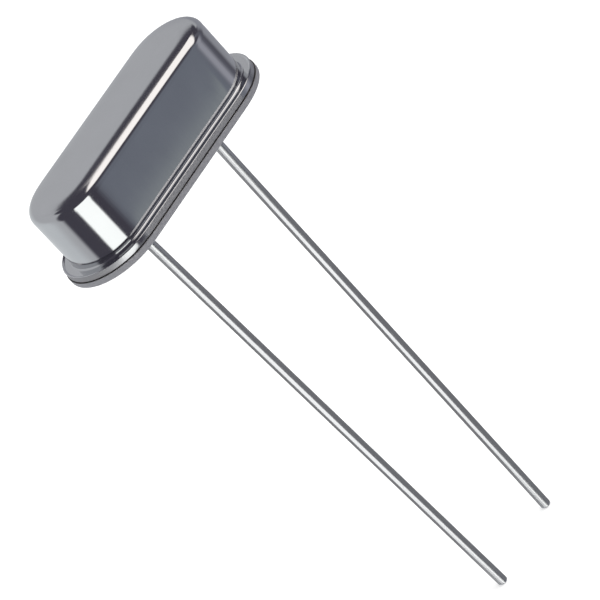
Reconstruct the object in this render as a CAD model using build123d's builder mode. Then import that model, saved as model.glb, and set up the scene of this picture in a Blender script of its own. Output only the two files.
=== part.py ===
from build123d import *
import os
from math import hypot

# Two-lead quartz crystal unit in a low welded metal can, in millimetres.
# The origin is the middle of the base's underside, which seats on a circuit board.
# The can stands up along +Z, its length runs along X and the leads go down along -Z.

# Driving dimensions of the outside
lead_pitch = 4.88
lead_diameter = 0.43
lead_length = 22.6
can_length = 10.25
can_width = 3.63
overall_height = 3.27
flange_length = 11.17
flange_width = 4.55

# Drawn cover
cover_sheet = 0.2
crown_radius = 0.36
root_radius = 0.12
cover_flange_setback = 0.04
cover_flange_bevel = 0.09

# Base with its raised platform
base_flange_thickness = 0.3
base_flange_bevel = 0.07
platform_top = 0.9
platform_clearance = 0.06
platform_root_bevel = 0.15
platform_edge_bevel = 0.12
seal_diameter = 1.6

# Glass beads: depth of the glass under the bore's rims, and how far it climbs up the wire inside the can
seal_hollow = 0.05
seal_climb = 0.12

# Leads: bare wire in the glass, and a tin coat that feathers out just under the base
core_diameter = 0.4
coat_start = 0.1
coat_full = 0.7
head_bottom = 1.1
head_thickness = 0.12
head_diameter = 0.95
head_bevel = 0.04
lead_tip_bevel = 0.08

# Leads: where they may bend under the base, and how far each tip stands off from its root in X and Y
lead_bend_depth = 1.0
lead_bend_radius = 5.0
lead_tip_shift = {"left": (1.05, -0.25), "right": (0.0, 0.0)}

# Quartz blank and its films
blank_length = 8.0
blank_width = 1.9
blank_thickness = 0.208
blank_bottom = 1.65
film_thickness = 0.01
electrode_length = 4.0
electrode_width = 1.4
film_tab_width = 1.0
film_wrap_length = 0.8

# Spring ribbons that hold the blank
clip_thickness = 0.1
clip_width = 1.5
clip_bend_radius = 0.1
clip_foot_reach = 0.55
clip_shelf_start = 3.3
clip_lip_end = 3.55
clip_end_gap = 0.09

# Dots of conductive adhesive
adhesive_radius = 0.4
adhesive_height = 0.22

# Worked-out levels and places
cover_flange_top = base_flange_thickness + cover_sheet
cavity_length = can_length - 2 * cover_sheet
cavity_width = can_width - 2 * cover_sheet
lead_radius = lead_diameter / 2
core_radius = core_diameter / 2
head_radius = head_diameter / 2
seal_radius = seal_diameter / 2
seal_top = platform_top - seal_hollow
head_top = head_bottom + head_thickness
blank_top = blank_bottom + blank_thickness
blank_end = blank_length / 2
film_bottom = blank_bottom - film_thickness
film_top = blank_top + film_thickness
sides = {"left": -1, "right": 1}

os.makedirs("parts", exist_ok=True)


def outward_plane(side):
    """Upright plane through the middle of the can, drawn outwards to the given end and up along +Z."""
    return Plane(origin=(0, 0, 0), x_dir=(side, 0, 0), z_dir=(0, -side, 0))


# Cover: a can with a rounded crown, drawn from one sheet, with its foot turned out into a flange
with BuildPart() as metal_cover:
    with BuildSketch(Plane.XY.offset(base_flange_thickness)):
        SlotOverall(flange_length - 2 * cover_flange_setback, flange_width - 2 * cover_flange_setback)
    extrude(amount=cover_sheet)
    chamfer(metal_cover.edges().group_by(Axis.Z)[-1], cover_flange_bevel)
    with BuildSketch(Plane.XY.offset(cover_flange_top)):
        SlotOverall(can_length, can_width)
    extrude(amount=overall_height - cover_flange_top)
    root_edges = metal_cover.edges(Select.LAST).group_by(Axis.Z)[0]
    fillet(metal_cover.edges().group_by(Axis.Z)[-1], crown_radius)
    fillet(root_edges, root_radius)
    with BuildSketch(Plane.XY.offset(base_flange_thickness)):
        SlotOverall(cavity_length, cavity_width)
    extrude(amount=overall_height - cover_sheet - base_flange_thickness, mode=Mode.SUBTRACT)
    cavity_edges = metal_cover.edges(Select.LAST).group_by(Axis.Z)
    mouth_edges = cavity_edges[0]
    fillet(cavity_edges[-1], crown_radius - cover_sheet)
    fillet(mouth_edges, root_radius + cover_sheet)
metal_cover.part.label = "metal_cover"
export_step(metal_cover.part, "parts/metal_cover.step")

# Base: a flange under the cover's flange and a platform inside the can, bored for the two glass beads
with BuildPart() as base_plate:
    with BuildSketch():
        SlotOverall(flange_length, flange_width)
    extrude(amount=base_flange_thickness)
    chamfer(base_plate.edges().group_by(Axis.Z)[0], base_flange_bevel)
    with BuildSketch(Plane.XY.offset(base_flange_thickness)):
        SlotOverall(cavity_length - 2 * platform_clearance, cavity_width - 2 * platform_clearance)
    extrude(amount=platform_top - base_flange_thickness)
    platform_root_edges = base_plate.edges(Select.LAST).group_by(Axis.Z)[0]
    chamfer(base_plate.edges().group_by(Axis.Z)[-1], platform_edge_bevel)
    chamfer(platform_root_edges, platform_root_bevel)
    with Locations(Plane.XY.offset(platform_top)):
        with GridLocations(lead_pitch, 0, 2, 1):
            Hole(seal_diameter / 2)
base_plate.part.label = "base_plate"
export_step(base_plate.part, "parts/base_plate.step")

# Quartz strip, lying flat across the two clips
with BuildPart() as quartz_blank:
    with BuildSketch(Plane.XY.offset(blank_bottom)):
        Rectangle(blank_length, blank_width)
    extrude(amount=blank_thickness)
quartz_blank.part.label = "quartz_blank"
export_step(quartz_blank.part, "parts/quartz_blank.step")

# Films: each has a pad on one face and a tab that runs to one end and wraps round it
for name, side, level in (("upper", -1, blank_top), ("lower", 1, film_bottom)):
    with BuildPart() as electrode:
        with BuildSketch(Plane.XY.offset(level)):
            Rectangle(electrode_length, electrode_width)
            with Locations((side * blank_end / 2, 0)):
                Rectangle(blank_end, film_tab_width)
        extrude(amount=film_thickness)
        with BuildSketch(outward_plane(side)):
            with Locations((blank_end + film_thickness, blank_bottom + blank_thickness / 2)):
                Rectangle(
                    film_wrap_length,
                    blank_thickness + 2 * film_thickness,
                    align=(Align.MAX, Align.CENTER),
                )
        extrude(amount=film_tab_width / 2, both=True)
        add(quartz_blank.part, mode=Mode.SUBTRACT)
    electrode.part.label = f"electrode_{name}"
    export_step(electrode.part, f"parts/electrode_{name}.step")

for name, side in sides.items():
    lead_x = side * lead_pitch / 2

    # Glass bead: fills the base's bore a little short of its rims and climbs up the wire inside the can
    with BuildPart() as glass_seal:
        with BuildSketch(Plane.YZ.offset(lead_x)):
            with BuildLine():
                Polyline(
                    (core_radius, seal_hollow),
                    (seal_radius, seal_hollow),
                    (seal_radius, seal_top),
                    (core_radius + seal_climb, seal_top),
                    (core_radius, seal_top + seal_climb),
                    close=True,
                )
            make_face()
        revolve(axis=Axis((lead_x, 0, 0), (0, 0, 1)))
    glass_seal.part.label = f"glass_seal_{name}"
    export_step(glass_seal.part, f"parts/glass_seal_{name}.step")

    # Wire lead: a nail head and bare core through the glass, then the tinned wire, bent if its tip stands off
    shift_x, shift_y = lead_tip_shift[name]
    shift = hypot(shift_x, shift_y)
    swing = Vector(shift_x, shift_y) if shift else Vector(side, 0)
    with BuildPart() as lead:
        with BuildSketch(Plane.YZ.offset(lead_x)):
            with BuildLine():
                Polyline(
                    (0, -coat_full),
                    (lead_radius, -coat_full),
                    (core_radius, -coat_start),
                    (core_radius, head_bottom),
                    (head_radius, head_bottom),
                    (head_radius, head_top),
                    (0, head_top),
                    close=True,
                )
            make_face()
        revolve(axis=Axis((lead_x, 0, 0), (0, 0, 1)))
        chamfer(lead.edges().group_by(Axis.Z)[-1], head_bevel)
        with BuildLine(Plane(origin=(lead_x, 0, 0), x_dir=swing, z_dir=swing.cross(Vector(0, 0, 1)))):
            if shift:
                FilletPolyline(
                    (0, -coat_full), (0, -lead_bend_depth), (shift, -lead_length), radius=lead_bend_radius
                )
            else:
                Line((0, -coat_full), (0, -lead_length))
        with BuildSketch(Plane(origin=(lead_x, 0, -coat_full), z_dir=(0, 0, -1))):
            Circle(lead_radius)
        sweep()
        chamfer(lead.edges().filter_by(GeomType.CIRCLE).sort_by(Axis.Z)[0], lead_tip_bevel)
    lead.part.label = f"lead_{name}"
    export_step(lead.part, f"parts/lead_{name}.step")

    # Spring ribbon: a foot on the lead's head, a shelf under the blank and a lip folded over its end
    foot_level = head_top + clip_thickness / 2
    shelf_level = film_bottom - clip_thickness / 2
    lip_level = film_top + clip_thickness / 2
    back = blank_end + film_thickness + clip_end_gap + clip_thickness / 2
    with BuildPart() as support_clip:
        with BuildSketch(outward_plane(side)):
            with BuildLine() as ribbon:
                FilletPolyline(
                    (lead_pitch / 2 - clip_foot_reach, foot_level),
                    (lead_pitch / 2 + clip_foot_reach, foot_level),
                    (clip_shelf_start, shelf_level),
                    (back, shelf_level),
                    (back, lip_level),
                    (clip_lip_end, lip_level),
                    radius=clip_bend_radius,
                )
            trace(ribbon.line, clip_thickness)
        extrude(amount=clip_width / 2, both=True)
    support_clip.part.label = f"support_clip_{name}"
    export_step(support_clip.part, f"parts/support_clip_{name}.step")

    # Adhesive: a low dome on the film that runs up over the clip's lip
    dome_x = side * clip_lip_end
    with BuildPart() as adhesive:
        with BuildSketch(Plane.YZ.offset(dome_x)):
            with BuildLine():
                Line((0, film_top), (adhesive_radius, film_top))
                TangentArc((0, film_top + adhesive_height), (adhesive_radius, film_top), tangent=(1, 0))
                Line((0, film_top + adhesive_height), (0, film_top))
            make_face()
        revolve(axis=Axis((dome_x, 0, 0), (0, 0, 1)))
        add(support_clip.part, mode=Mode.SUBTRACT)
    adhesive.part.label = f"adhesive_{name}"
    export_step(adhesive.part, f"parts/adhesive_{name}.step")
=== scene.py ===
"""Dresses a two-lead quartz crystal unit in its welded metal can and lights it in a small studio."""

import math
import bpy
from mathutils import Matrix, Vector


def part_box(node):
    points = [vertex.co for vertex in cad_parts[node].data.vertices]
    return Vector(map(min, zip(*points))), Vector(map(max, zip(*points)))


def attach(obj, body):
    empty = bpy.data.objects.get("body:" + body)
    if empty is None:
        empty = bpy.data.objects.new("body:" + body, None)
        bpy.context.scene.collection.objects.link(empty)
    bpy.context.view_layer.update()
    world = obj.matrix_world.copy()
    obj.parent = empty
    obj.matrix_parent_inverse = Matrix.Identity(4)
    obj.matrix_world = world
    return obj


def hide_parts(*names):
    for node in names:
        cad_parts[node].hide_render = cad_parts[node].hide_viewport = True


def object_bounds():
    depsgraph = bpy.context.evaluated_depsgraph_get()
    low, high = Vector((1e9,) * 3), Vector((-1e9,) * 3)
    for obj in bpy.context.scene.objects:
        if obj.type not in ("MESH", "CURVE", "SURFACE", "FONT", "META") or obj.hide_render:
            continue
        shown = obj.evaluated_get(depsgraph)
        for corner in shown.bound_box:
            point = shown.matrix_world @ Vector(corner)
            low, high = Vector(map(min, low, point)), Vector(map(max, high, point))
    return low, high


bl_info = {
    "name": "Crystal Unit",
    "version": (1, 0, 0),
    "blender": (4, 5, 0),
    "location": "View3D > Sidebar > Crystal Unit",
    "description": "Builds the outside of a quartz crystal unit and a studio that shows its plated metal",
    "category": "Object",
}

from functools import partial

import bmesh
import bpy
import numpy as np
from bpy.props import FloatProperty, FloatVectorProperty, PointerProperty
from mathutils import Matrix, Vector

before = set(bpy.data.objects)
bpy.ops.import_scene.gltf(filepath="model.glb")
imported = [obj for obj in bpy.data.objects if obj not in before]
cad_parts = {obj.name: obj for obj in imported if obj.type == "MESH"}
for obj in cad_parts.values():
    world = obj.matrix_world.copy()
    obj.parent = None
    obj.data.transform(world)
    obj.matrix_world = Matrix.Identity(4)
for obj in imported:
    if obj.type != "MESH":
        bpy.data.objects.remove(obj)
CAD_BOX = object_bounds()

MM = 0.001

# Sign of X on each side
SIDES = {"left": -1, "right": 1}

# Points closer than this, in metres, are one point
WELD = 1e-8

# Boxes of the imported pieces, in metres
COVER_LOW, COVER_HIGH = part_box("metal_cover")
BASE_LOW, BASE_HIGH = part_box("base_plate")
LEAD_LOW, LEAD_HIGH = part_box("lead_right")
BEAD_LOW, BEAD_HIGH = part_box("glass_seal_right")
BEAD_PLACE = (BEAD_LOW.x + BEAD_HIGH.x) / 2
BEAD_RADIUS = (BEAD_HIGH.x - BEAD_LOW.x) / 2


# Settings that a user would change

def length(name, description, default):
    """A length in metres with a name and a description."""
    return FloatProperty(name=name, description=description, default=default, unit="LENGTH", precision=6)


def tilt(name, description, degrees):
    """An angle, given in degrees and kept in radians."""
    return FloatProperty(name=name, description=description, default=math.radians(degrees), subtype="ANGLE")


def share(name, description, default):
    """A plain number from nought to one."""
    return FloatProperty(name=name, description=description, default=default, subtype="FACTOR",
                         min=0.0, max=1.0)


def colour(name, description, default):
    """A colour in linear red, green and blue."""
    return FloatVectorProperty(name=name, description=description, default=default, subtype="COLOR", size=3,
                               min=0.0, max=1.0)


def spot(name, description, default):
    """A place in the studio, given in millimetres and kept in metres."""
    default = [MM * value for value in default]
    return FloatVectorProperty(name=name, description=description, default=default, subtype="TRANSLATION",
                               size=3, unit="LENGTH")


class CoverShape(bpy.types.PropertyGroup):
    can_length: length("Can length", "Length of the can over its round ends", 10.25 * MM)
    can_width: length("Can width", "Width of the can over its straight sides", 3.63 * MM)
    sheet: length("Sheet", "Thickness of the drawn sheet", 0.2 * MM)
    crown_radius: length("Crown radius", "Rounding between the top and the wall", 0.36 * MM)
    crown_drop: length("Crown drop", "How far the top sinks towards the crown", 0.04 * MM)
    crown_reach: length("Crown reach", "Width of the band over which the top sinks", 0.6 * MM)
    root_radius: length("Root radius", "Rounding between the wall and the flange", 0.08 * MM)
    flange_lift: length("Flange lift", "How far the pressed flange stands above its sheet", 0.03 * MM)
    rim_lift: length("Rim lift", "How far the flange's rim is pressed up", 0.04 * MM)
    rim_slope: length("Rim slope", "Width of the slope that leads up to the rim", 0.07 * MM)
    rim_radius: length("Rim radius", "Rounding of the flange's upper edge", 0.04 * MM)
    seam_radius: length("Seam radius", "Rounding of the edges that meet at the welded seam", 0.04 * MM)
    corner_ease: length("Corner ease", "Length over which a side turns into a round end", 0.9 * MM)


class BaseShape(bpy.types.PropertyGroup):
    flange: length("Flange", "Thickness of the base's flange", 0.3 * MM)
    foot_radius: length("Foot radius", "Rounding of the flange's lower edge", 0.08 * MM)
    platform_gap: length("Platform gap", "Room between the platform and the can's wall", 0.06 * MM)
    platform_radius: length("Platform radius", "Rounding of the platform's edges", 0.12 * MM)


class LeadShape(bpy.types.PropertyGroup):
    wire: length("Wire", "Diameter of the tinned wire", 0.43 * MM)
    core: length("Core", "Diameter of the bare wire in the glass", 0.4 * MM)
    coat_start: length("Coat start", "Depth under the base where the tin begins", 0.1 * MM)
    coat_full: length("Coat full", "Depth under the base where the tin has its full thickness", 0.7 * MM)
    head_thickness: length("Head thickness", "Thickness of the nail head inside the can", 0.12 * MM)
    head_round: length("Head rounding", "Rounding of the nail head's upper edge", 0.04 * MM)
    tip_round: length("Tip rounding", "Rounding of the cut end", 0.08 * MM)
    bend_depth: length("Bend depth", "Depth under the base where the left lead bends", 1.0 * MM)
    bend_radius: length("Bend radius", "Radius of that bend", 5.0 * MM)
    lean_x: length("Lean along the can", "How far the left tip stands off along the can", 1.05 * MM)
    lean_y: length("Lean across the can", "How far the left tip stands off across the can", -0.25 * MM)


class BeadShape(bpy.types.PropertyGroup):
    sag: length("Sag", "Depth of the hollow in the fired glass", 0.03 * MM)
    climb: length("Climb", "How far the glass climbs up the wire", 0.12 * MM)


class Finishes(bpy.types.PropertyGroup):
    can: colour("Can", "Nickel plate of the can", (0.60, 0.61, 0.63))
    base: colour("Base", "Nickel plate of the base", (0.58, 0.58, 0.61))
    tin: colour("Tin", "Tin plate of the leads", (0.70, 0.71, 0.72))
    sheared: colour("Sheared edge", "Bare metal at the cover's sheared edge", (0.60, 0.60, 0.62))
    stamped: colour("Stamped edge", "Bare metal at the base's stamped edge", (0.70, 0.70, 0.73))
    grime: colour("Grime", "Grime in the welded seam", (0.16, 0.15, 0.15))
    bead: colour("Bead", "Sealing glass", (0.06, 0.13, 0.17))
    clip: colour("Clip", "Spring ribbon", (0.66, 0.64, 0.60))
    quartz: colour("Quartz", "Quartz blank", (0.93, 0.95, 0.96))
    silver: colour("Silver", "Electrode films", (0.82, 0.81, 0.79))
    adhesive: colour("Adhesive", "Silver-filled adhesive", (0.58, 0.57, 0.55))
    can_roughness: share("Can roughness", "Roughness of the can's plate", 0.1)
    base_roughness: share("Base roughness", "Roughness of the base's plate", 0.14)
    tin_roughness: share("Tin roughness", "Roughness of the tinned wire", 0.24)
    sheared_roughness: share("Sheared roughness", "Roughness of the cover's sheared edge", 0.8)
    stamped_roughness: share("Stamped roughness", "Roughness of the base's stamped edge", 0.9)
    bare_rim: share("Bare rim", "Outer share of the rim's rounding that has lost its plate", 0.3)


class StudioSetup(bpy.types.PropertyGroup):
    camera_place: spot("Camera place", "Where the camera stands", (-64.92, -126.981, 68.934))
    camera_target: spot("Camera target", "What the camera looks at", (-0.331, -1.711, -6.799))
    camera_roll: tilt("Camera roll", "Turn of the camera's upright to its right", 42.64)
    camera_lens: FloatProperty(
        name="Lens", description="Focal length for a 36 mm frame", default=257.15, unit="CAMERA")
    room_light: share("Room light", "Level of the even light of the room", 0.55)
    room_shade: colour("Room shade", "Dark part of the room that the metal mirrors", (0.075, 0.07, 0.09))
    strip_swivel: tilt("Strip swivel", "Turn of the strip box overhead about the upright", 11)
    floor_reach: length("Floor reach", "Half of the floor's width", 400 * MM)
    floor_tone: share("Floor tone", "How much light the floor gives back", 0.6)
    floor_glow: share("Floor glow", "What the lit floor lacks to white for the camera", 0.5)
    card_radius: length("Card radius", "Distance of the cards from the leads", 30 * MM)
    card_top: length("Card top", "Level of the cards' upper edge", -15.5 * MM)
    card_foot: length("Card foot", "Level of the cards' lower edge", -44 * MM)
    lamp_place: spot("Lamp place", "Where the overhead lamp hangs", (40, -30, 160))
    lamp_size: length("Lamp size", "Width of the overhead lamp", 160 * MM)
    lamp_power: FloatProperty(
        name="Lamp power", description="Power of the overhead lamp", default=0.35, unit="POWER")


# Sections: rows of reach from the middle and height, in metres

# Headings on a section, in degrees from the upright
UP, OUT, DOWN = 0, 90, 180

# How steeply the glass climbs up a wire: the power of the distance from the bore
CLIMB_POWER = 6


def ease(count):
    """Shares from nought to one, closer together at both ends: they follow half a cosine wave."""
    return (1 - np.cos(np.linspace(0, np.pi, count))) / 2


def run(start, stop, count):
    """Points of a straight run, spaced by eased shares."""
    part = ease(count)
    return np.outer(1 - part, start) + np.outer(part, stop)


def turn(centre, radius, start, stop, count):
    """Points of an arc: centre plus radius times the sine and cosine of the heading."""
    heading = np.radians(np.linspace(start, stop, count))
    return np.array(centre) + radius * np.stack([np.sin(heading), np.cos(heading)], axis=-1)


def join(*rows):
    """Runs and arcs one after the other, without points that repeat the one before."""
    rows = np.concatenate(rows)
    moves = np.abs(np.diff(rows, axis=0)).max(axis=1) > WELD
    return rows[np.append(True, moves)]


def flange_size(low, high):
    """Half the width of a flange and the length of its straight sides, from its box."""
    half = (high.y - low.y) / 2
    return half, high.x - low.x - 2 * half


def cover_section(shape):
    """Section of the drawn cover from the middle of its top, over crown, wall and flange, to the middle of
    the inside. The top sinks towards the crown with the square of the distance, and the crown's arc takes
    over at the slope that this ends with. The flange is flat up to a smooth slope, three times the square
    less twice the cube of the share of its width, that leads up to the pressed rim."""
    wall = shape.can_width / 2
    rim, _ = flange_size(COVER_LOW, COVER_HIGH)
    top, foot = COVER_HIGH.z, COVER_LOW.z
    root, seam = shape.root_radius, shape.seam_radius
    flange = foot + shape.sheet + shape.flange_lift
    rim_top = flange + shape.rim_lift
    slope = math.atan(2 * shape.crown_drop / shape.crown_reach)
    crown_middle = wall - shape.crown_radius
    crown_level = top - shape.crown_drop - shape.crown_radius * math.cos(slope)
    shoulder = crown_middle + shape.crown_radius * math.sin(slope)
    reach = np.linspace(0, shoulder, num=40)
    sink = np.clip((reach - shoulder + shape.crown_reach) / shape.crown_reach, 0, 1)
    rise = np.linspace(0, 1, num=10)
    rise_end = rim - shape.rim_radius
    rise_start = rise_end - shape.rim_slope
    rise_level = flange + shape.rim_lift * (3 * rise**2 - 2 * rise**3)
    inside = wall - shape.sheet
    inner_crown = shape.crown_radius - shape.sheet
    mouth = root + shape.sheet
    ceiling = top - shape.sheet
    return join(
        np.stack([reach, top - shape.crown_drop * sink**2], axis=-1),
        turn((crown_middle, crown_level), shape.crown_radius, math.degrees(slope), OUT, count=28),
        run((wall, crown_level), (wall, flange + root), count=24),
        turn((wall + root, flange + root), -root, OUT, UP, count=14),
        run((wall + root, flange), (rise_start, flange), count=6),
        np.stack([rise_start + shape.rim_slope * rise, rise_level], axis=-1),
        turn((rise_end, rim_top - shape.rim_radius), shape.rim_radius, UP, OUT, count=14),
        turn((rim - seam, foot + seam), seam, OUT, DOWN, count=8),
        run((rim - seam, foot), (inside + mouth, foot), count=8),
        turn((inside + mouth, foot + mouth), -mouth, UP, OUT, count=14),
        run((inside, foot + mouth), (inside, ceiling - inner_crown), count=12),
        turn((inside - inner_crown, ceiling - inner_crown), inner_crown, OUT, UP, count=12),
        run((inside - inner_crown, ceiling), (0, ceiling), count=16),
    )


def base_section(shape, cover):
    """Section of the base from the middle of its underside, round its flange and up to the middle of the
    platform."""
    rim, _ = flange_size(BASE_LOW, BASE_HIGH)
    top = BASE_HIGH.z
    platform = cover.can_width / 2 - cover.sheet - shape.platform_gap
    foot, seam, edge = shape.foot_radius, cover.seam_radius, shape.platform_radius
    return join(
        run((0, 0), (rim - foot, 0), count=14),
        turn((rim - foot, foot), foot, DOWN, OUT, count=12),
        turn((rim - seam, shape.flange - seam), seam, OUT, UP, count=8),
        run((rim - seam, shape.flange), (platform + edge, shape.flange), count=8),
        turn((platform + edge, shape.flange + edge), -edge, UP, OUT, count=8),
        turn((platform - edge, top - edge), edge, OUT, UP, count=8),
        run((platform - edge, top), (0, top), count=14),
    )


def lead_section(shape, tip):
    """Section of a lead, as if it were straight, from the middle of its head down to its tip's level: nail
    head, bare core in the glass, and the wire in the tin that sets in under the base."""
    head = (LEAD_HIGH.x - LEAD_LOW.x) / 2
    top, under = LEAD_HIGH.z, LEAD_HIGH.z - shape.head_thickness
    wire, core = shape.wire / 2, shape.core / 2
    brow, edge = shape.head_round, shape.tip_round
    return join(
        run((0, top), (head - brow, top), count=6),
        turn((head - brow, top - brow), brow, UP, OUT, count=6),
        run((head, top - brow), (head, under), count=3),
        run((head, under), (core, under), count=6),
        run((core, under), (core, -shape.coat_start), count=12),
        run((core, -shape.coat_start), (wire, -shape.coat_full), count=10),
        run((wire, -shape.coat_full), (wire, tip + edge), count=120),
        turn((wire - edge, tip + edge), edge, OUT, DOWN, count=8),
        run((wire - edge, tip), (0, tip), count=5),
    )


def bead_section(shape, core):
    """Closed section of a glass bead. The underside is hollowed by a parabola between wire and bore, and
    the upper side climbs up the wire with a power of the distance from the bore."""
    ring = np.linspace(core, BEAD_RADIUS, num=16)
    part = (ring - core) / (BEAD_RADIUS - core)
    under = BEAD_LOW.z + 4 * shape.sag * part * (1 - part)
    over = BEAD_HIGH.z - shape.climb + shape.climb * (1 - part) ** CLIMB_POWER
    rows = np.concatenate([np.stack([ring, under], axis=-1), np.stack([ring, over], axis=-1)[::-1]])
    return np.concatenate([rows, rows[:1]])


# Surfaces: sections carried round an outline, along a wire or round an axis

# Sides of the drills, the leads and the beads
DRILL_SIDES = 96
LEAD_SIDES = 40
BEAD_SIDES = 72


class Outline:
    """The can's outline seen from above. Its normal turns by half a turn over each round end and is fixed
    on the straight sides; that turn, averaged over the corner ease, is summed up into a closed line, which
    is then stretched to the exact length and width."""

    SUM_STEPS = 8000
    AVERAGE_STEPS = 31
    END_POINTS = 64
    SIDE_POINTS = 25

    def __init__(self, shape):
        radius = shape.can_width / 2
        self.straight = shape.can_length - shape.can_width
        arc = math.pi * radius
        marks = np.cumsum([0, self.straight / 2, arc, self.straight, arc, self.straight / 2])

        def heading(along):
            first = np.clip((along - marks[1]) / arc, 0, 1)
            second = np.clip((along - marks[3]) / arc, 0, 1)
            return -np.pi / 2 + np.pi * (first + second)

        offsets = np.linspace(-0.5, 0.5, self.AVERAGE_STEPS) * shape.corner_ease
        steps = np.linspace(0, marks[-1], self.SUM_STEPS)
        angle = heading(steps[:, None] + offsets).mean(axis=1)
        move = np.stack([-np.sin(angle), np.cos(angle)], axis=-1)
        line = np.concatenate([np.zeros((1, 2)), np.cumsum((move[1:] + move[:-1]) / 2, axis=0)])
        low, high = line.min(axis=0), line.max(axis=0)
        line = (line - (low + high) / 2) * np.array([shape.can_length, shape.can_width]) / (high - low)

        side = ease(self.SIDE_POINTS)
        half = np.sin(np.linspace(0, np.pi / 2, self.SIDE_POINTS // 2 + 1))
        end = np.linspace(0, 1, self.END_POINTS)
        along = np.concatenate([
            marks[1] * half[:-1],
            marks[1] + arc * end[:-1],
            marks[2] + self.straight * side[:-1],
            marks[3] + arc * end[:-1],
            marks[5] - self.straight / 2 * half[::-1][:-1],
        ])
        angle = np.interp(along, steps, angle)
        self.points = np.stack([np.interp(along, steps, line[:, k]) for k in range(2)], axis=-1)
        self.normals = np.stack([np.cos(angle), np.sin(angle)], axis=-1)
        self.lean = np.clip(self.points[:, 0] / (self.straight / 2), -1, 1)
        self.middle = np.stack([self.lean * self.straight / 2, np.zeros(len(along))], axis=-1)


def carry_round(section, shape, low, high):
    """Carries a section round the can's outline, out to the flange that has the given box. A row outside
    the core stands off from the wall along the outline's normal, and its straight part grows towards the
    rim's. A row inside the core is shared out between the middle line and the ring at the core."""
    outline = Outline(shape)
    wall = shape.can_width / 2
    core = wall - shape.crown_radius
    rim, rim_straight = flange_size(low, high)
    reach, level = section[:, 0], section[:, 1]
    spread = np.clip((reach - wall) / (rim - wall), 0, 1) * (rim_straight - outline.straight) / 2
    stand_off = np.maximum(reach, core) - wall
    flat = outline.points + stand_off[:, None, None] * outline.normals
    flat[..., 0] += spread[:, None] * outline.lean
    inner = np.clip(reach / core, 0, 1)[:, None, None]
    flat = outline.middle + inner * (flat - outline.middle)
    height = np.broadcast_to(level[:, None, None], flat.shape[:2] + (1,))
    return np.concatenate([flat, height], axis=-1)


def lead_bend(shape, lean):
    """How far a lead's tip swings off the plumb line, the angle of the bend that leads there, and the depth
    where that bend begins."""
    swing = math.hypot(*lean)
    angle = math.atan2(swing, -LEAD_LOW.z - shape.bend_depth)
    return swing, angle, shape.bend_depth - shape.bend_radius * math.tan(angle / 2)


def lead_reach(shape, lean):
    """Length of a lead under the base: plumb part, bend and leaning part."""
    swing, angle, begin = lead_bend(shape, lean)
    leaning = math.hypot(swing, LEAD_LOW.z + shape.bend_depth) - (shape.bend_depth - begin)
    return begin + shape.bend_radius * angle + leaning


def carry_along(section, shape, root, lean):
    """Carries circles along a wire that goes down from its root, bends once and runs straight on. Along the
    wire the angle from the plumb line is nought up to the bend, grows with distance over bend radius, and
    stays at the lean's angle; depth and stand-off are the sums of its cosine and sine."""
    radii, along = section[:, 0], -section[:, 1]
    swing, angle_end, begin = lead_bend(shape, lean)
    heading = np.array(lean) / swing if swing else np.array([1.0, 0.0])
    angle = np.clip((along - begin) / shape.bend_radius, 0, angle_end)
    past = np.maximum(along - begin - shape.bend_radius * angle_end, 0)
    depth = np.minimum(along, begin) + shape.bend_radius * np.sin(angle) + past * math.cos(angle_end)
    aside = shape.bend_radius * (1 - np.cos(angle)) + past * math.sin(angle_end)
    centre = np.stack([root + aside * heading[0], aside * heading[1], -depth], axis=-1)
    outward = np.stack([np.cos(angle) * heading[0], np.cos(angle) * heading[1], np.sin(angle)], axis=-1)
    across = np.array([-heading[1], heading[0], 0.0])
    turned = np.linspace(0, 2 * np.pi, LEAD_SIDES, endpoint=False)
    circle = np.cos(turned)[:, None] * outward[:, None] + np.sin(turned)[:, None] * across
    return centre[:, None] + radii[:, None, None] * circle


def revolve(section, centre, sides):
    """Turns a section round the upright axis at the given X: x is the reach times the cosine and y the
    reach times the sine."""
    angle = np.linspace(0, 2 * np.pi, sides, endpoint=False)
    reach = section[:, 0][:, None]
    height = np.broadcast_to(section[:, 1][:, None], (len(section), sides))
    return np.stack([centre + reach * np.cos(angle), reach * np.sin(angle), height], axis=-1)


# Meshes and pieces

# Angle at which an edge is sharp, and how far a drill goes past what it cuts
SHARP_ANGLE = math.radians(38)
DRILL_OVERRUN = 1 * MM


def surface_mesh(name, points):
    """Mesh of a grid of points: its rows are open, its columns run round in a loop, and points that fall on
    each other at seams and poles are merged."""
    rows, columns, _ = points.shape
    index = np.arange(rows * columns).reshape(rows, columns)
    beside = np.roll(index, -1, axis=1)
    quads = np.stack([index[:-1], beside[:-1], beside[1:], index[1:]], axis=-1).reshape(-1, 4)
    mesh = bpy.data.meshes.new(name)
    mesh.from_pydata(points.reshape(-1, 3), [], quads)
    body = bmesh.new()
    body.from_mesh(mesh)
    bmesh.ops.remove_doubles(body, verts=body.verts, dist=WELD)
    bmesh.ops.dissolve_degenerate(body, dist=WELD, edges=body.edges)
    bmesh.ops.recalc_face_normals(body, faces=body.faces)
    body.to_mesh(mesh)
    body.free()
    return mesh


def add_object(mesh):
    """Object of that mesh's name in the scene."""
    piece = bpy.data.objects.new(mesh.name, mesh)
    bpy.context.scene.collection.objects.link(piece)
    return piece


def add_piece(mesh, material, node):
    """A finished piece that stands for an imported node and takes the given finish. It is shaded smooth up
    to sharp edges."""
    mesh.shade_smooth()
    mesh.set_sharp_from_angle(angle=SHARP_ANGLE)
    mesh.materials.append(material)
    piece = add_object(mesh)
    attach(piece, "root")
    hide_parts(node)


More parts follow.
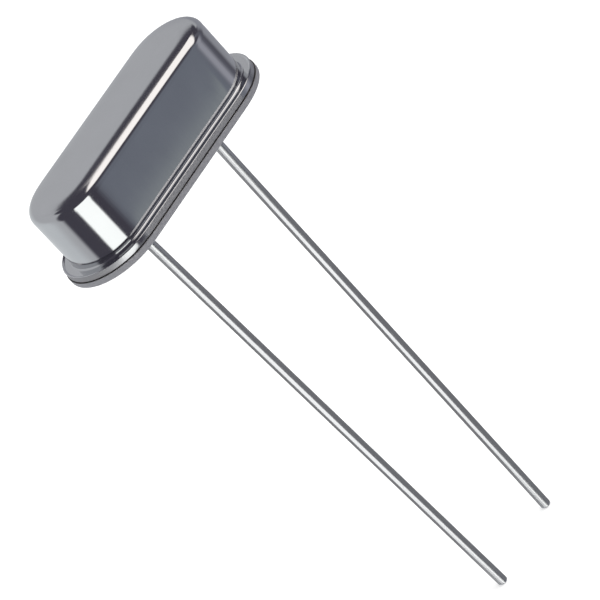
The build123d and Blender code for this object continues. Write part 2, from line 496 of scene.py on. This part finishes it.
def cut_holes(mesh, centres, radius, low, high):
    """Drills upright round holes through a closed mesh that lies between two levels."""
    body = add_object(mesh)
    low, high = low - DRILL_OVERRUN, high + DRILL_OVERRUN
    section = np.array([[0, low], [radius, low], [radius, high], [0, high]])
    drills = []
    for number, centre in enumerate(centres):
        drill = add_object(surface_mesh(f"drill_{number}", revolve(section, centre, DRILL_SIDES)))
        drills.append(drill)
        cut = body.modifiers.new(drill.name, "BOOLEAN")
        cut.object = drill
        cut.operation = "DIFFERENCE"
        cut.solver = "EXACT"
    graph = bpy.context.evaluated_depsgraph_get()
    result = bpy.data.meshes.new_from_object(body.evaluated_get(graph))
    result.materials.clear()
    for scrap in (body, *drills):
        scrap_mesh = scrap.data
        bpy.data.objects.remove(scrap)
        bpy.data.meshes.remove(scrap_mesh)
    return result


# Nodes

# Kinds of the groups' sockets that aren't plain numbers
SOCKET_KINDS = {
    "Color": "NodeSocketColor",
    "Direction": "NodeSocketVector",
    "Line Stretch": "NodeSocketVector",
    "Vector": "NodeSocketVector",
}

# Places of the two inputs and the output of a Mix node, for each type of data
MIX_SOCKETS = {"FLOAT": (2, 3, 0), "RGBA": (6, 7, 2)}

WHITE = (1.0, 1.0, 1.0, 1.0)


def opaque(tint):
    """A colour with full alpha."""
    return (*tint, 1.0)


def feed(tree, value, socket):
    """Feeds a socket from another socket, or sets it to a plain value."""
    if isinstance(value, bpy.types.NodeSocket):
        tree.links.new(value, socket)
    else:
        socket.default_value = value


def add_node(tree, kind, sockets=None, **settings):
    """A new node with the given settings, whose sockets are fed by name or number."""
    node = tree.nodes.new(kind)
    for key, value in settings.items():
        setattr(node, key, value)
    for key, value in (sockets or {}).items():
        feed(tree, value, node.inputs[key])
    return node


def math_node(tree, operation, first, second=0.0, third=0.0):
    """Output of a Math node whose inputs are sockets or plain numbers."""
    return add_node(tree, "ShaderNodeMath", {0: first, 1: second, 2: third}, operation=operation).outputs[0]


def vector_node(tree, operation, vector, by):
    """Output of a Vector Math node: the vector taken with another one, or with a plain scale."""
    other = "Scale" if operation == "SCALE" else 1
    return add_node(tree, "ShaderNodeVectorMath", {0: vector, other: by}, operation=operation).outputs[0]


def mix_node(tree, data_type, factor, first, second, label=""):
    """Output of a Mix node that leads from the first to the second by the factor."""
    start, stop, result = MIX_SOCKETS[data_type]
    sockets = {"Factor": factor, start: first, stop: second}
    return add_node(tree, "ShaderNodeMix", sockets, data_type=data_type, label=label).outputs[result]


def noise_node(tree, vector, scale, detail):
    """Output of a Noise Texture node."""
    sockets = {"Vector": vector, "Scale": scale, "Detail": detail}
    return add_node(tree, "ShaderNodeTexNoise", sockets).outputs[0]


def soft_step(tree, value, low, high):
    """Smooth step from nought to one while the value goes from low to high."""
    sockets = {"Value": value, "From Min": low, "From Max": high}
    return add_node(tree, "ShaderNodeMapRange", sockets, interpolation_type="SMOOTHSTEP").outputs[0]


def soft_edge(tree, inside, softness):
    """Mask that is one inside an edge, given the distance to it and half the width of its softness."""
    return soft_step(tree, inside, math_node(tree, "MULTIPLY", softness, -1.0), softness)


def split(tree, vector):
    """Outputs X, Y and Z of a vector."""
    return add_node(tree, "ShaderNodeSeparateXYZ", {0: vector}).outputs


def new_group(name, inputs, outputs):
    """An empty shader node group with named inputs and outputs."""
    group = bpy.data.node_groups.new(name, "ShaderNodeTree")
    for in_out, titles in (("INPUT", inputs), ("OUTPUT", outputs)):
        for title in titles:
            kind = SOCKET_KINDS.get(title, "NodeSocketFloat")
            group.interface.new_socket(title, in_out=in_out, socket_type=kind)
    return group, add_node(group, "NodeGroupInput").outputs, add_node(group, "NodeGroupOutput").inputs


def place_group(tree, name, vector, **values):
    """Places a shader node group, which is built when it is first used. Its first input takes the vector,
    and the others take the values that are named like them in small letters."""
    group = bpy.data.node_groups.get(name) or GROUPS[name](name)
    sockets = {key.replace("_", " ").title(): value for key, value in values.items()}
    return add_node(tree, "ShaderNodeGroup", {0: vector, **sockets}, node_tree=group).outputs


# Finishes

# Half the width of the grime in a seam, and half the width over which a mark fades
SEAM_HALF_WIDTH = 0.02 * MM
MARK_SOFTNESS = 0.01 * MM

# Middle of a noise's values
NOISE_MIDDLE = 0.5


def drawn_metal_group(name):
    """Drawn and plated metal: a soft mottle in colour and roughness, and fine draw lines along one axis.
    The vector is stretched for the lines, so they run long along the axis with the small stretch."""
    group, given, result = new_group(
        name,
        inputs=("Vector", "Color", "Mottle", "Mottle Scale", "Line Stretch", "Line Scale", "Roughness",
                "Roughness Spread"),
        outputs=("Color", "Roughness", "Height"))
    calc = partial(math_node, group)
    mottle = noise_node(group, given["Vector"], given["Mottle Scale"], detail=3.0)
    stretched = vector_node(group, "MULTIPLY", given["Vector"], given["Line Stretch"])
    lines = noise_node(group, stretched, given["Line Scale"], detail=2.0)
    swing = calc("SUBTRACT", mottle, NOISE_MIDDLE)
    tone = calc("MULTIPLY_ADD", swing, given["Mottle"], 1.0)
    swing = calc("SUBTRACT", calc("ADD", mottle, lines), 2 * NOISE_MIDDLE)
    rough = calc("MULTIPLY_ADD", swing, given["Roughness Spread"], given["Roughness"])
    feed(group, vector_node(group, "SCALE", given["Color"], tone), result["Color"])
    feed(group, rough, result["Roughness"])
    feed(group, lines, result["Height"])
    return group


def flange_masks_group(name):
    """Masks on a flange. The reach is the distance from the can's middle line, a straight line of the given
    half length; the edge mask is one beyond the inner reach, the seam mask one near the seam's level."""
    group, given, result = new_group(
        name,
        inputs=("Vector", "Half Length", "Inner Reach", "Seam Level", "Seam Half Width", "Softness"),
        outputs=("Edge", "Seam"))
    calc = partial(math_node, group)
    parts = split(group, given["Vector"])
    past = calc("MAXIMUM", calc("SUBTRACT", calc("ABSOLUTE", parts["X"]), given["Half Length"]), 0.0)
    across = calc("MULTIPLY", parts["Y"], parts["Y"])
    reach = calc("SQRT", calc("MULTIPLY_ADD", past, past, across))
    edge = soft_edge(group, calc("SUBTRACT", reach, given["Inner Reach"]), given["Softness"])
    off = calc("ABSOLUTE", calc("SUBTRACT", parts["Z"], given["Seam Level"]))
    seam = soft_edge(group, calc("SUBTRACT", given["Seam Half Width"], off), given["Softness"])
    feed(group, edge, result["Edge"])
    feed(group, calc("MULTIPLY", seam, edge), result["Seam"])
    return group


def new_material(name):
    """A material, its node tree, its Principled BSDF and the coordinates of the object."""
    material = bpy.data.materials.new(name)
    material.use_nodes = True
    tree = material.node_tree
    place = add_node(tree, "ShaderNodeTexCoord").outputs["Object"]
    return material, tree, tree.nodes["Principled BSDF"], place


def metal_finish(name, tint, bump, **look):
    """A plated metal: the drawn metal group, with a look of its own, gives colour, roughness and the height
    of a fine bump."""
    material, tree, shader, place = new_material(name)
    metal = place_group(tree, "Drawn Metal", place, color=opaque(tint), **look)
    relief = add_node(tree, "ShaderNodeBump", {"Strength": 1.0, "Distance": bump, "Height": metal["Height"]})
    feed(tree, metal["Color"], shader.inputs["Base Color"])
    feed(tree, metal["Roughness"], shader.inputs["Roughness"])
    feed(tree, relief.outputs["Normal"], shader.inputs["Normal"])
    shader.inputs["Metallic"].default_value = 1.0
    return material


def mark_flange(material, low, high, depth, seam, roughness, bare, grime):
    """Marks of shearing and welding on the flange that has the given box: it is matt and bare over its
    edge's depth, and grime sits at the seam's level."""
    tree = material.node_tree
    sockets = tree.nodes["Principled BSDF"].inputs
    place = add_node(tree, "ShaderNodeTexCoord").outputs["Object"]
    rim, straight = flange_size(low, high)
    masks = place_group(
        tree, "Flange Masks", place, half_length=straight / 2, inner_reach=rim - depth, seam_level=seam,
        seam_half_width=SEAM_HALF_WIDTH, softness=MARK_SOFTNESS)

    def lay(title, data_type, mask, value):
        fed = sockets[title].links[0].from_socket
        feed(tree, mix_node(tree, data_type, masks[mask], fed, value), sockets[title])

    lay("Roughness", "FLOAT", "Edge", roughness)
    lay("Base Color", "RGBA", "Edge", opaque(bare))
    lay("Base Color", "RGBA", "Seam", opaque(grime))


def glass_finish(name, tint, transmission, roughness, speck, speck_scale):
    """A glassy finish: specks of a lighter tone in the colour, with plain transmission."""
    material, tree, shader, place = new_material(name)
    specks = noise_node(tree, place, speck_scale, detail=4.0)
    sockets = {"Value": specks, "To Min": 1.0 - speck, "To Max": 1.0 + speck}
    tone = add_node(tree, "ShaderNodeMapRange", sockets)
    feed(tree, vector_node(tree, "SCALE", tint, tone.outputs[0]), shader.inputs["Base Color"])
    shader.inputs["Roughness"].default_value = roughness
    shader.inputs["Transmission Weight"].default_value = transmission
    return material


# Operators, one for each piece or group of like pieces

class CRYSTAL_OT_cover(bpy.types.Operator):
    """Draw the metal cover with its domed crown and turned-out flange"""

    bl_idname = "crystal.cover"
    bl_label = "Drawn cover"

    def execute(self, context):
        shape = context.scene.crystal_cover
        finishes = context.scene.crystal_finishes
        plate = metal_finish(
            "Nickel_plate", finishes.can, bump=0.0006 * MM, roughness=finishes.can_roughness,
            roughness_spread=0.06, mottle=0.12, mottle_scale=700.0, line_stretch=(1.0, 1.0, 0.08),
            line_scale=14000.0)
        mark_flange(
            plate, COVER_LOW, COVER_HIGH, depth=shape.rim_radius * finishes.bare_rim, seam=COVER_LOW.z,
            roughness=finishes.sheared_roughness, bare=finishes.sheared, grime=finishes.grime)
        points = carry_round(cover_section(shape), shape, COVER_LOW, COVER_HIGH)
        add_piece(surface_mesh("can_cover", points), plate, "metal_cover")
        return {"FINISHED"}


class CRYSTAL_OT_base(bpy.types.Operator):
    """Stamp the base with its flange, platform and two bores"""

    bl_idname = "crystal.base"
    bl_label = "Stamped base"

    def execute(self, context):
        shape = context.scene.crystal_base
        cover = context.scene.crystal_cover
        finishes = context.scene.crystal_finishes
        plate = metal_finish(
            "Nickel_base", finishes.base, bump=0.0008 * MM, roughness=finishes.base_roughness,
            roughness_spread=0.06, mottle=0.16, mottle_scale=900.0, line_stretch=(1.0, 1.0, 0.3),
            line_scale=12000.0)
        mark_flange(
            plate, BASE_LOW, BASE_HIGH, depth=shape.foot_radius, seam=shape.flange,
            roughness=finishes.stamped_roughness, bare=finishes.stamped, grime=finishes.grime)
        points = carry_round(base_section(shape, cover), cover, BASE_LOW, BASE_HIGH)
        blank = surface_mesh("header_base_blank", points)
        mesh = cut_holes(blank, (-BEAD_PLACE, BEAD_PLACE), BEAD_RADIUS, BASE_LOW.z, BASE_HIGH.z)
        mesh.name = "header_base"
        add_piece(mesh, plate, "base_plate")
        return {"FINISHED"}


class CRYSTAL_OT_leads(bpy.types.Operator):
    """Pull the two tinned wire leads, the left one with its lean"""

    bl_idname = "crystal.leads"
    bl_label = "Wire leads"

    def execute(self, context):
        shape = context.scene.crystal_leads
        finishes = context.scene.crystal_finishes
        tin = metal_finish(
            "Tin_plate", finishes.tin, bump=0.0005 * MM, roughness=finishes.tin_roughness,
            roughness_spread=0.08, mottle=0.1, mottle_scale=2500.0, line_stretch=(1.0, 1.0, 0.02),
            line_scale=16000.0)
        root = (LEAD_LOW.x + LEAD_HIGH.x) / 2
        leans = {"left": (shape.lean_x, shape.lean_y), "right": (0.0, 0.0)}
        for side, sign in SIDES.items():
            section = lead_section(shape, -lead_reach(shape, leans[side]))
            points = carry_along(section, shape, sign * root, leans[side])
            add_piece(surface_mesh(f"wire_lead_{side}", points), tin, f"lead_{side}")
        return {"FINISHED"}


class CRYSTAL_OT_beads(bpy.types.Operator):
    """Fire the glass beads into the base round the leads"""

    bl_idname = "crystal.beads"
    bl_label = "Glass beads"

    def execute(self, context):
        glass = glass_finish("Sealing_glass", context.scene.crystal_finishes.bead, transmission=0.25,
                             roughness=0.12, speck=0.25, speck_scale=6000.0)
        section = bead_section(context.scene.crystal_beads, context.scene.crystal_leads.core / 2)
        for side, sign in SIDES.items():
            points = revolve(section, sign * BEAD_PLACE, BEAD_SIDES)
            add_piece(surface_mesh(f"glass_bead_{side}", points), glass, f"glass_seal_{side}")
        return {"FINISHED"}


class CRYSTAL_OT_resonator(bpy.types.Operator):
    """Finish the quartz blank, its films, the clips and the adhesive inside the can"""

    bl_idname = "crystal.resonator"
    bl_label = "Quartz and its clips"

    def execute(self, context):
        finishes = context.scene.crystal_finishes
        quartz = glass_finish("Etched_quartz", finishes.quartz, transmission=0.9, roughness=0.25,
                              speck=0.05, speck_scale=4000.0)
        silver = metal_finish(
            "Silver_film", finishes.silver, bump=0.0004 * MM, roughness=0.2, roughness_spread=0.1,
            mottle=0.08, mottle_scale=1500.0, line_stretch=(1.0, 1.0, 1.0), line_scale=8000.0)
        ribbon = metal_finish(
            "Spring_ribbon", finishes.clip, bump=0.001 * MM, roughness=0.28, roughness_spread=0.1,
            mottle=0.12, mottle_scale=1200.0, line_stretch=(0.1, 1.0, 1.0), line_scale=9000.0)
        paste = metal_finish(
            "Silver_adhesive", finishes.adhesive, bump=0.006 * MM, roughness=0.55, roughness_spread=0.2,
            mottle=0.3, mottle_scale=5000.0, line_stretch=(1.0, 1.0, 1.0), line_scale=9000.0)
        coats = {"quartz_blank": quartz, "electrode_upper": silver, "electrode_lower": silver}
        for side in SIDES:
            coats[f"support_clip_{side}"] = ribbon
            coats[f"adhesive_{side}"] = paste
        for node, coat in coats.items():
            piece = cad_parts[node]
            piece.data.materials.clear()
            piece.data.materials.append(coat)
        return {"FINISHED"}


# Studio: what the plated metal mirrors, a pale floor, cards, a soft lamp and the camera

# Light of the pale walls, and the edges that most panels share, in degrees
WALL_LIGHT = (0.56, 0.565, 0.58)
PANEL_EDGES = {"low": -75, "side_soft": 6, "low_soft": 6, "high_soft": 6}

CARD_COLUMNS = 33

# The camera's frame in millimetres, and its nearest and farthest sight in metres
SENSOR_WIDTH = 36.0
CLIP_START = 5 * MM
CLIP_END = 5.0


def studio_panel_group(name):
    """Mask of a panel of the studio as seen from the object: one where the direction's azimuth lies within
    half a width of the panel's and its elevation between the panel's low and high edges, with soft edges.
    The high edge rises with the azimuth by the slope. Going up, the middle moves by the lean and half the
    width shrinks by the taper."""
    group, given, result = new_group(
        name,
        inputs=("Direction", "Azimuth", "Half Width", "Low", "High", "Slope", "Lean", "Taper", "Side Soft",
                "Low Soft", "High Soft"),
        outputs=("Mask",))
    calc = partial(math_node, group)
    parts = split(group, given["Direction"])
    azimuth = calc("ARCTAN2", parts["Y"], parts["X"])
    elevation = calc("ARCSINE", parts["Z"])
    middle = calc("MULTIPLY_ADD", elevation, given["Lean"], given["Azimuth"])
    half_width = calc("SUBTRACT", given["Half Width"], calc("MULTIPLY", elevation, given["Taper"]))
    away = calc("WRAP", calc("SUBTRACT", azimuth, middle), math.pi, -math.pi)
    sideways = calc("SUBTRACT", half_width, calc("ABSOLUTE", away))
    edge = calc("MULTIPLY_ADD", away, given["Slope"], given["High"])
    upwards = calc("SUBTRACT", elevation, given["Low"])
    downwards = calc("SUBTRACT", edge, elevation)
    mask = soft_edge(group, sideways, given["Side Soft"])
    mask = calc("MULTIPLY", mask, soft_edge(group, upwards, given["Low Soft"]))
    mask = calc("MULTIPLY", mask, soft_edge(group, downwards, given["High Soft"]))
    feed(group, mask, result["Mask"])
    return group


def lay_panel(tree, tone, view, title, light, slope=0.0, lean=0.0, taper=0.0, **edges):
    """Lays a panel over the tone so far by the panel's mask; its edges are angles in degrees."""
    angles = {key: math.radians(degrees) for key, degrees in {**PANEL_EDGES, **edges}.items()}
    panel = place_group(tree, "Studio Panel", view, slope=slope, lean=lean, taper=taper, **angles)
    return mix_node(tree, "RGBA", panel["Mask"], tone, opaque(light), label=title)


def build_surround(tree, direction, studio):
    """Lays the panels over the room's shade and returns the colour. Walls and screens are measured by
    azimuth and elevation; the strip box overhead stands a little askew and is measured by its angle from
    the zenith towards +X and its reach towards +Y."""
    sockets = {"Vector": direction, "Angle": studio.strip_swivel}
    swivel = add_node(tree, "ShaderNodeVectorRotate", sockets, rotation_type="Z_AXIS")
    parts = split(tree, swivel.outputs[0])
    overhead = add_node(tree, "ShaderNodeCombineXYZ", {"X": parts["Z"], "Y": parts["X"], "Z": parts["Y"]})
    tone = opaque(studio.room_shade)

    def lay(title, light, view=direction, **edges):
        nonlocal tone
        tone = lay_panel(tree, tone, view, title, light, **edges)

    lay("back wall", WALL_LIGHT, azimuth=40, half_width=24, high=28.2, high_soft=2)
    lay("sloped wall", WALL_LIGHT, azimuth=72, half_width=14, high=39.6, slope=1.15, side_soft=4,
        high_soft=2)
    lay("left wall", WALL_LIGHT, azimuth=126, half_width=50, high=56, taper=0.2, high_soft=3)
    lay("back table", (0.72, 0.745, 0.76), azimuth=105, half_width=53, high=6, side_soft=18, high_soft=14)
    lay("right wall", (0.36, 0.365, 0.40), azimuth=30, half_width=28, high=20, side_soft=12, high_soft=8)
    lay("right gap", (0.14, 0.14, 0.17), azimuth=-13, half_width=8, high=60)
    lay("right screen", (0.42, 0.42, 0.47), azimuth=-33, half_width=12, high=10, side_soft=9)
    lay("front wall", (0.205, 0.22, 0.26), azimuth=-57.5, half_width=13.5, high=24, side_soft=8,
        high_soft=14)
    lay("camera box", (1.60, 1.62, 1.56), azimuth=-115.8, half_width=22, high=24, side_soft=2, high_soft=4)
    lay("strip box", (1.57, 1.48, 1.40), overhead.outputs[0], azimuth=32.1, half_width=16.6, low=-25,
        high=45.2, slope=-1.0, lean=-0.15, taper=0.29, side_soft=2.5, low_soft=5, high_soft=5)
    return tone


def build_world(studio):
    """Even light for soft surfaces, plain white for the camera, and the studio's panels for mirrored and
    refracted rays."""
    world = bpy.data.worlds.new("Studio")
    world.use_nodes = True
    tree = world.node_tree
    tree.nodes.clear()
    path = add_node(tree, "ShaderNodeLightPath").outputs
    direction = add_node(tree, "ShaderNodeTexCoord").outputs["Generated"]
    mirrored = math_node(tree, "MAXIMUM", path["Is Glossy Ray"], path["Is Transmission Ray"])
    even = opaque([studio.room_light] * 3)
    seen = mix_node(tree, "RGBA", mirrored, even, build_surround(tree, direction, studio))
    seen = mix_node(tree, "RGBA", path["Is Camera Ray"], seen, WHITE)
    shade = add_node(tree, "ShaderNodeBackground", {"Color": seen})
    add_node(tree, "ShaderNodeOutputWorld", {"Surface": shade.outputs[0]})
    bpy.context.scene.world = world


def stage_material(name):
    """A material with no nodes yet, and its node tree."""
    material = bpy.data.materials.new(name)
    material.use_nodes = True
    material.node_tree.nodes.clear()
    return material, material.node_tree


def show_shaders(tree, factor, first, second):
    """Gives a material a surface that leads from the first shader to the second by the factor."""
    sockets = {"Fac": factor, 1: first.outputs[0], 2: second.outputs[0]}
    blend = add_node(tree, "ShaderNodeMixShader", sockets)
    add_node(tree, "ShaderNodeOutputMaterial", {"Surface": blend.outputs[0]})


def build_floor(studio):
    """A pale floor under the leads' tips. It takes the shadow as a soft surface, glows for the camera by
    what its own colour lacks to white, and is clear from below."""
    reach, level = studio.floor_reach, CAD_BOX[0][2]
    corners = [(x * reach, y * reach, level) for x, y in ((-1, -1), (1, -1), (1, 1), (-1, 1))]
    mesh = bpy.data.meshes.new("floor")
    mesh.from_pydata(corners, [], [(0, 1, 2, 3)])
    material, tree = stage_material("Pale_floor")
    seen = add_node(tree, "ShaderNodeLightPath").outputs["Is Camera Ray"]
    soft = add_node(tree, "ShaderNodeBsdfDiffuse", {"Color": opaque([studio.floor_tone] * 3)})
    glow = add_node(tree, "ShaderNodeEmission", {"Color": opaque([studio.floor_glow] * 3), "Strength": seen})
    both = add_node(tree, "ShaderNodeAddShader", {0: soft.outputs[0], 1: glow.outputs[0]})
    below = add_node(tree, "ShaderNodeNewGeometry").outputs["Backfacing"]
    show_shaders(tree, below, both, add_node(tree, "ShaderNodeBsdfTransparent"))
    mesh.materials.append(material)
    floor = add_object(mesh)
    floor.visible_glossy = False
    floor.visible_transmission = False


def bent_edge(radius, start, stop):
    """Edge of a card bent round the leads: x and y are the radius times the cosine and sine of the azimuth,
    which goes from start to stop in degrees."""
    azimuth = np.radians(np.linspace(start, stop, CARD_COLUMNS))
    return radius * np.stack([np.cos(azimuth), np.sin(azimuth)], axis=-1)


def build_card(title, light, edge, foot, top, side_fade=0.02, level_fade=0.02):
    """A card that only mirrored rays see: an edge, given as points seen from above, raised from the foot's
    level to the top's. It fades out towards its sides, top and foot over the given shares of its length and
    height."""
    columns = len(edge)
    below = np.arange(columns - 1)
    faces = np.stack([below, below + 1, below + columns + 1, below + columns], axis=-1)
    points = np.concatenate([np.insert(edge, 2, level, axis=1) for level in (foot, top)])
    mesh = bpy.data.meshes.new(title)
    mesh.from_pydata(points, [], faces)
    shares = np.stack([np.tile(np.linspace(0, 1, columns), 2), np.repeat([0.0, 1.0], columns)], axis=-1)
    mesh.uv_layers.new(name="Card").uv.foreach_set("vector", shares[faces.ravel()].ravel())
    material, tree = stage_material(title)
    parts = split(tree, add_node(tree, "ShaderNodeTexCoord").outputs["UV"])
    mask = 1.0
    for axis, fade in (("X", side_fade), ("Y", level_fade)):
        rest = math_node(tree, "SUBTRACT", 1.0, parts[axis])
        inside = math_node(tree, "MINIMUM", parts[axis], rest)
        mask = math_node(tree, "MULTIPLY", soft_step(tree, inside, 0.0, fade), mask)
    glow = add_node(tree, "ShaderNodeEmission", {"Color": opaque(light)})
    show_shaders(tree, mask, add_node(tree, "ShaderNodeBsdfTransparent"), glow)
    mesh.materials.append(material)
    card = add_object(mesh)
    card.visible_camera = False
    card.visible_diffuse = False
    card.visible_transmission = False
    card.visible_shadow = False


def build_cards(studio):
    """Cards for the wires, bent round them too low for the can: dark on the right and left, and white
    between, in front. A strip a little higher up in front is mirrored by the foot of the can's wall."""

    def bend(title, light, start, stop):
        edge = bent_edge(studio.card_radius, start, stop)
        build_card(title, light, edge, studio.card_foot, studio.card_top)

    bend("right_card", (0.20, 0.20, 0.215), start=-112, stop=50)
    bend("left_card", (0.24, 0.24, 0.25), start=50, stop=181)
    bend("white_card", (1.4, 1.4, 1.4), start=181, stop=248)
    left, right, ahead = 4 * MM, 24 * MM, -28 * MM
    build_card("foot_strip", (0.37, 0.40, 0.40), np.array([[left, ahead], [right, ahead]]),
               foot=-14.6 * MM, top=-13.0 * MM, side_fade=0.3, level_fade=0.25)


def build_lamp(studio):
    """A wide soft lamp overhead."""
    lamp = bpy.data.lights.new("Overhead lamp", "AREA")
    lamp.shape = "DISK"
    lamp.size = studio.lamp_size
    lamp.energy = studio.lamp_power
    holder = bpy.data.objects.new("Overhead lamp", lamp)
    holder.location = studio.lamp_place
    holder.rotation_euler = (-holder.location).to_track_quat("-Z", "Y").to_euler()
    holder.visible_glossy = False
    bpy.context.scene.collection.objects.link(holder)


def build_camera(studio):
    """A camera that looks at its target and is rolled about its line of sight."""
    place = Vector(studio.camera_place)
    sight = (Vector(studio.camera_target) - place).normalized()
    level_right = sight.cross(Vector((0, 0, 1))).normalized()
    level_up = level_right.cross(sight)
    up = level_up * math.cos(studio.camera_roll) + level_right * math.sin(studio.camera_roll)
    camera = bpy.data.cameras.new("Camera")
    camera.sensor_width = SENSOR_WIDTH
    camera.lens = studio.camera_lens
    camera.clip_start = CLIP_START
    camera.clip_end = CLIP_END
    holder = bpy.data.objects.new("Camera", camera)
    turned = Matrix((sight.cross(up), up, -sight)).transposed()
    holder.matrix_world = Matrix.Translation(place) @ turned.to_4x4()
    bpy.context.scene.collection.objects.link(holder)
    bpy.context.scene.camera = holder


class CRYSTAL_OT_studio(bpy.types.Operator):
    """Set up the surround, the floor, the cards, the lamp and the camera"""

    bl_idname = "crystal.studio"
    bl_label = "Studio"

    def execute(self, context):
        studio = context.scene.crystal_studio
        build_world(studio)
        build_floor(studio)
        build_cards(studio)
        build_lamp(studio)
        build_camera(studio)
        context.scene.view_settings.view_transform = "Standard"
        return {"FINISHED"}


# Add-on

GROUPS = {
    "Drawn Metal": drawn_metal_group,
    "Flange Masks": flange_masks_group,
    "Studio Panel": studio_panel_group,
}
SETTINGS = {
    "crystal_cover": CoverShape,
    "crystal_base": BaseShape,
    "crystal_leads": LeadShape,
    "crystal_beads": BeadShape,
    "crystal_finishes": Finishes,
    "crystal_studio": StudioSetup,
}
OPERATORS = (
    CRYSTAL_OT_cover,
    CRYSTAL_OT_base,
    CRYSTAL_OT_leads,
    CRYSTAL_OT_beads,
    CRYSTAL_OT_resonator,
    CRYSTAL_OT_studio,
)


class CRYSTAL_PT_panel(bpy.types.Panel):
    """Lists the steps and their settings"""

    bl_idname = "CRYSTAL_PT_panel"
    bl_label = "Crystal Unit"
    bl_space_type = "VIEW_3D"
    bl_region_type = "UI"
    bl_category = "Crystal Unit"

    def draw(self, context):
        for step in OPERATORS:
            self.layout.operator(step.bl_idname)
        for name, group in SETTINGS.items():
            box = self.layout.box()
            for setting in group.__annotations__:
                box.prop(getattr(context.scene, name), setting)


CLASSES = (*SETTINGS.values(), *OPERATORS, CRYSTAL_PT_panel)


def register():
    for made in CLASSES:
        bpy.utils.register_class(made)
    for name, group in SETTINGS.items():
        setattr(bpy.types.Scene, name, PointerProperty(type=group))


def unregister():
    for name in SETTINGS:
        delattr(bpy.types.Scene, name)
    for made in reversed(CLASSES):
        bpy.utils.unregister_class(made)


def main():
    """Registers the classes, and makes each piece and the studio."""
    register()
    bpy.ops.crystal.cover()
    bpy.ops.crystal.base()
    bpy.ops.crystal.leads()
    bpy.ops.crystal.beads()
    bpy.ops.crystal.resonator()
    bpy.ops.crystal.studio()


if __name__ == "__main__":
    main()
